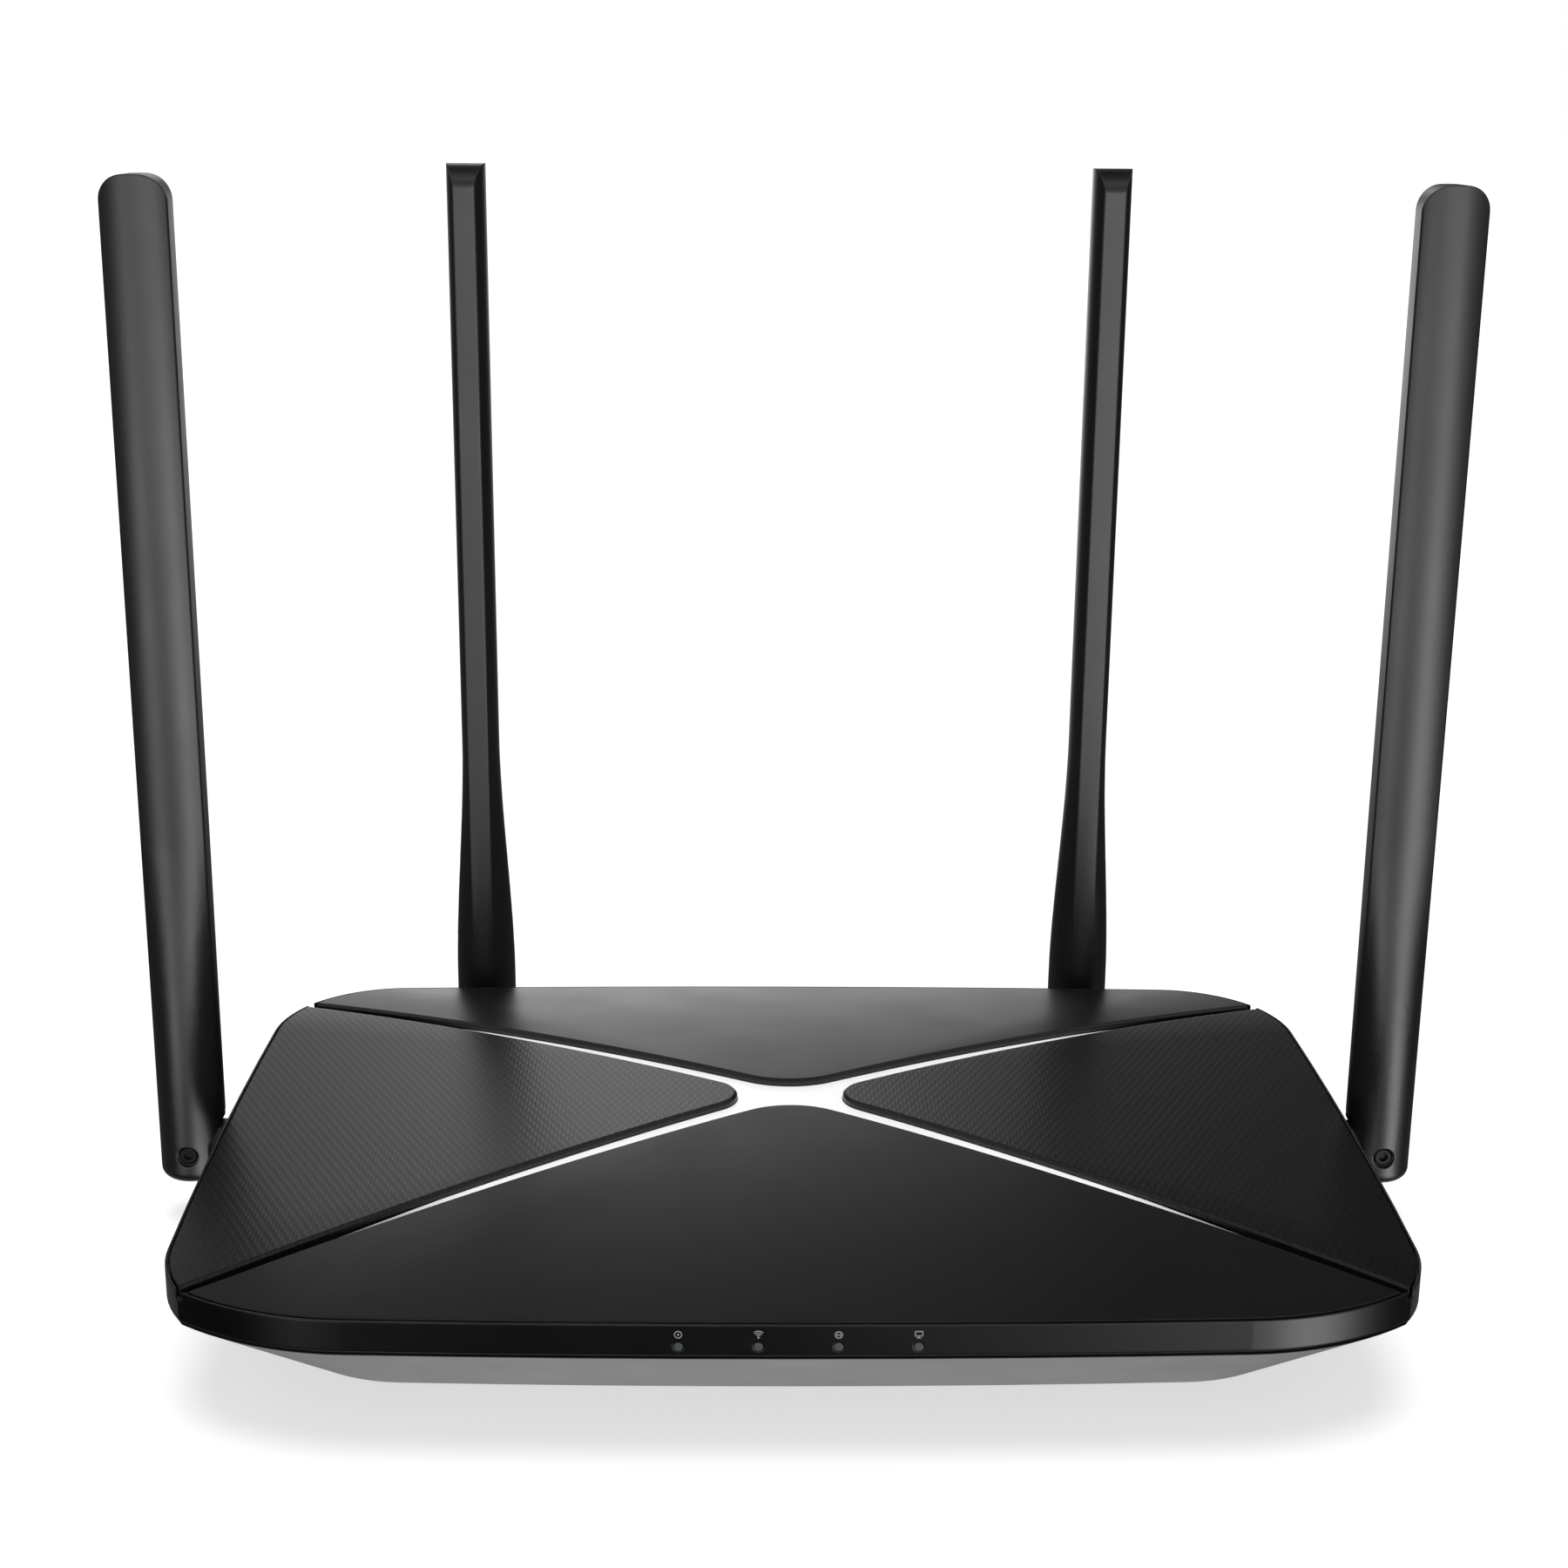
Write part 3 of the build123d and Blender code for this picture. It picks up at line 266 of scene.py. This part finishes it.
finishes = {
    "tray_plastic": moulded("tray_plastic", (0.035, 0.035, 0.036), 0.34, depth=0.00001),
    "band_plastic": moulded("band_plastic", (0.002, 0.002, 0.0021), 0.22, wear_and_highlight=0.1),
    "smooth_plate": moulded("smooth_plate", (0.005, 0.005, 0.0055), 0.38, depth=0.000014, wear_and_highlight=0.15),
    "woven_plate": woven("woven_plate", (0.005, 0.005, 0.0055), 0.33, 0.00132, 0.00278),
    # The trim's second colour is the painted shade at the ends of its arms.
    "bright_trim": trim_with_painted_shade("bright_trim", (0.98, 0.98, 0.98), (0.012, 0.012, 0.012, 1), 0.35),
    "foot_rubber": moulded("foot_rubber", (0.022, 0.022, 0.022), 0.75, depth=0.00003, wear_and_highlight=0.6),
    "screw_steel": metal("screw_steel", (0.22, 0.22, 0.23), 0.38),
    "label": moulded("label", (0.55, 0.56, 0.57), 0.42, wear_and_highlight=0.1),
    "board": circuit("board"),
    "wan_socket": moulded("wan_socket", (0.015, 0.085, 0.33), 0.42),
    "lan_socket": moulded("lan_socket", (0.58, 0.40, 0.035), 0.42),
    "gilt_contact": metal("gilt_contact", (0.86, 0.64, 0.28), 0.25),
    "socket_black": moulded("socket_black", (0.014, 0.014, 0.014), 0.45),
    "button_plastic": moulded("button_plastic", (0.022, 0.022, 0.022), 0.5, wear_and_highlight=0.6),
    "shield_steel": metal("shield_steel", (0.62, 0.61, 0.59), 0.32),
    "light_pipe": clear_pipe("light_pipe"),
    "status_light": moulded("status_light", (0.16, 0.18, 0.12), 0.3),
    "chip_black": moulded("chip_black", (0.020, 0.020, 0.021), 0.6, depth=0.00002),
    "sink_aluminium": metal("sink_aluminium", (0.74, 0.75, 0.76), 0.35, along=(1.0, 0.05, 1.0)),
    "can_aluminium": metal("can_aluminium", (0.68, 0.69, 0.71), 0.28, along=(1.0, 1.0, 0.05)),
    "ferrite": moulded("ferrite", (0.06, 0.06, 0.063), 0.7, depth=0.00003),
    "lead_jacket": moulded("lead_jacket", (0.02, 0.02, 0.02), 0.4),
    "antenna_plastic": moulded(
        "antenna_plastic", (0.006, 0.006, 0.0065), 0.36, depth=0.000012, wear_and_highlight=0.3, specular=0.9
    ),
    "radiator_brass": metal("radiator_brass", (0.80, 0.56, 0.26), 0.35, along=(1.0, 1.0, 0.05)),
    "pin_steel": metal("pin_steel", (0.03, 0.03, 0.031), 0.4),
    "knuckle_plastic": moulded("knuckle_plastic", (0.010, 0.010, 0.0105), 0.38),
}
slot_of = {entry["node"]: entry["material_slot"] for entry in frame["record"]["subparts"]}
for name, obj in nodes.items():
    obj.data.materials.clear()
    obj.data.materials.append(finishes[slot_of[name]])

# ---- Signs over the lights ---------------------------------------------------------------

SIGN_HIGH = 0.0202  # height of the signs' middles
SIGN_FACE = -0.074425  # front of the band at the middle
BAND_SAG = 0.2907  # how fast the band's face curves back, per metre across
SIGN_PROUD = 0.00003  # how far the signs stand out of the band, and reach into it
STROKE = 0.00014
DOT = 0.00009  # middle radius of the stroke round a dot
SIGN_SPACE = 0.0114  # between neighbouring lights
SIGN_RING = 0.00052
FAN_FOOT = -0.00045  # height of the middle that the radio sign's arcs share
SCREEN_TOP, SCREEN_FOOT, STAND_FOOT = 0.0005, -0.0002, -0.0005


def arc(radius, start, end, x=0.0, z=0.0, stretch=1.0, steps=12):
    """An open stroke along part of a circle, as pairs of points inside and outside."""
    pairs = []
    for index in range(steps + 1):
        turn = math.radians(start + (end - start) * index / steps)
        edges = (radius - STROKE / 2, radius + STROKE / 2)
        pairs.append([(math.cos(turn) * r * stretch + x, math.sin(turn) * r + z) for r in edges])
    return False, pairs


def ring(radius, x=0.0, z=0.0, stretch=1.0):
    """A closed stroke round a middle."""
    return True, arc(radius, 0.0, 360.0, x, z, stretch, 24)[1][:-1]


def bar(x0, z0, x1, z1):
    """A straight stroke between two points."""
    length = math.hypot(x1 - x0, z1 - z0)
    side = (-(z1 - z0) / length * STROKE / 2, (x1 - x0) / length * STROKE / 2)
    ends = ((x0, z0), (x1, z1))
    return False, [[(x - side[0], z - side[1]), (x + side[0], z + side[1])] for x, z in ends]


SIGNS = {
    "power_sign": [ring(SIGN_RING), ring(DOT)],
    "radio_sign": [arc(r, 50, 130, z=FAN_FOOT) for r in (0.00042, 0.00073, 0.00104)]
    + [ring(DOT, z=-0.00042)],
    "internet_sign": [
        ring(SIGN_RING),
        ring(SIGN_RING, stretch=0.45),
        bar(-0.0005, 0, 0.0005, 0),
    ],
    "network_sign": [
        bar(-0.0006, SCREEN_TOP, 0.0006, SCREEN_TOP),
        bar(-0.0006, SCREEN_FOOT, 0.0006, SCREEN_FOOT),
        bar(-0.00053, SCREEN_TOP, -0.00053, SCREEN_FOOT),
        bar(0.00053, SCREEN_TOP, 0.00053, SCREEN_FOOT),
        bar(0, SCREEN_FOOT, 0, STAND_FOOT),
        bar(-0.0003, STAND_FOOT, 0.0003, STAND_FOOT),
    ],
}
print_ink = moulded("print_grey", (0.40, 0.40, 0.40), 0.5)



def on_band(x, z, lift):
    """A point on the band's curved face, or a little behind it."""
    return x, SIGN_FACE + BAND_SAG * x**2 + lift, SIGN_HIGH + z


for index, (name, strokes) in enumerate(SIGNS.items()):
    middle = (index - (len(SIGNS) - 1) / 2) * SIGN_SPACE
    made = bmesh.new()
    for closed, pairs in strokes:
        loops = []
        for pair in pairs:
            spots = [on_band(middle + x, z, lift) for lift in (-SIGN_PROUD, SIGN_PROUD) for x, z in pair]
            loops.append([made.verts.new(spot) for spot in spots])
        following = loops[1:] + loops[:1] if closed else loops[1:]
        for near, far in zip(loops, following):
            for one, other in ((0, 1), (1, 3), (3, 2), (2, 0)):
                made.faces.new((near[one], near[other], far[other], far[one]))
        for end in () if closed else (loops[0], loops[-1]):
            made.faces.new((end[0], end[1], end[3], end[2]))
    bmesh.ops.recalc_face_normals(made, faces=made.faces)
    sign_mesh = bpy.data.meshes.new(name)
    made.to_mesh(sign_mesh)
    made.free()
    sign = bpy.data.objects.new(name, sign_mesh)
    scene.collection.objects.link(sign)
    sign_mesh.materials.append(print_ink)
    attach(sign, "router")

# ---- Floor, lights and surroundings ------------------------------------------------------

FLOOR_HALF = 9
FLOOR_GLOW = 0.66
SUN_POWER = 2.5
SUN_SPREAD = math.radians(42)
DIM = 0.012  # glow of the surroundings away from the cards

corners = [(x * FLOOR_HALF, y * FLOOR_HALF, 0) for x, y in ((-1, -1), (1, -1), (1, 1), (-1, 1))]
floor_mesh = bpy.data.meshes.new("floor")
floor_mesh.from_pydata(corners, [], [(0, 1, 2, 3)])
floor = bpy.data.objects.new("floor", floor_mesh)
scene.collection.objects.link(floor)
paper = Graph("floor_paper")
tint = paper.mix(paper.noise(3.0), (0.46, 0.46, 0.46, 1), (0.48, 0.48, 0.48, 1))
paper.feed(paper.shader.inputs["Base Color"], tint)
paper.shader.inputs["Roughness"].default_value = 0.7
paper.shader.inputs["Specular IOR Level"].default_value = 0.2
paper.shader.inputs["Emission Color"].default_value = (1, 1, 1, 1)
paper.shader.inputs["Emission Strength"].default_value = FLOOR_GLOW
floor_mesh.materials.append(paper.material)
floor.visible_glossy = False

overhead = bpy.data.objects.new("overhead", bpy.data.lights.new("overhead", "SUN"))
overhead.data.energy = SUN_POWER
overhead.data.angle = SUN_SPREAD
overhead.visible_glossy = False
scene.collection.objects.link(overhead)

world = bpy.data.worlds.new("studio")
scene.world = world
world.use_nodes = True
tree = world.node_tree


def joined(kind, *inputs, **settings):
    """A world node fed with sockets or numbers, and its first output."""
    made = tree.nodes.new(kind)
    for key, value in settings.items():
        setattr(made, key, value)
    for index, value in enumerate(inputs):
        if isinstance(value, bpy.types.NodeSocket):
            tree.links.new(value, made.inputs[index])
        elif value is not None:
            made.inputs[index].default_value = value
    return made.outputs


def reckon(operation, a, b=None):
    """A number worked out from one or two numbers."""
    return joined("ShaderNodeMath", a, b, operation=operation)[0]


heading = tree.nodes.new("ShaderNodeTexCoord").outputs["Generated"]


def soft_card(azimuth, elevation, across, along, strength):
    """A soft glowing card far away: azimuth 0 is behind the object and 90 to its right."""
    a, e = math.radians(azimuth), math.radians(elevation)
    towards = (math.sin(a) * math.cos(e), math.cos(a) * math.cos(e), math.sin(e))
    level = (math.cos(a), -math.sin(a), 0.0)
    above = (-math.sin(a) * math.sin(e), -math.cos(a) * math.sin(e), math.cos(e))
    front, aside, lift = (
        joined("ShaderNodeVectorMath", heading, axis, operation="DOT_PRODUCT")["Value"]
        for axis in (towards, level, above)
    )
    wide = reckon("POWER", reckon("DIVIDE", aside, math.radians(across)), 2.0)
    tall = reckon("POWER", reckon("DIVIDE", lift, math.radians(along)), 2.0)
    fall = reckon("MULTIPLY", reckon("ADD", wide, tall), -0.5)
    glow = reckon("MULTIPLY", reckon("EXPONENT", fall), strength)
    return reckon("MULTIPLY", glow, reckon("GREATER_THAN", front, 0.0))


glow = DIM
for card in (  # azimuth, elevation, spread across and along in degrees, strength
    (-9, -2, 9, 7, 2.5),
    (8, -2, 8, 7, 1.1),
    (-4, 24, 5.5, 6, 2.1),
    (-22, 28, 3, 5, 0.35),
    (-10, 38, 6, 8, 0.5),
    (0, -57, 20, 13, 1.1),
    (180, -1, 10, 7, 2.8),
    (156, -12, 9, 7, 4.0),
    (-150, -11, 9, 7, 3.4),
    (138, -29, 11, 10, 4.2),
    (90, 45, 14, 12, 0.8),
    (-90, 45, 20, 12, 0.7),
    (180, 48, 35, 13, 0.7),
):
    glow = reckon("ADD", soft_card(*card), glow)
lit = tree.nodes["Background"]
tree.links.new(glow, lit.inputs["Strength"])
plain = tree.nodes.new("ShaderNodeBackground")
plain.inputs["Color"].default_value = (1, 1, 1, 1)
plain.inputs["Strength"].default_value = 1.0
lit.inputs["Color"].default_value = (1, 1, 1, 1)
shown = tree.nodes.new("ShaderNodeMixShader")
tree.links.new(tree.nodes.new("ShaderNodeLightPath").outputs["Is Camera Ray"], shown.inputs[0])
tree.links.new(lit.outputs[0], shown.inputs[1])
tree.links.new(plain.outputs[0], shown.inputs[2])
tree.links.new(shown.outputs[0], tree.nodes["World Output"].inputs["Surface"])
scene.view_settings.view_transform = "Standard"
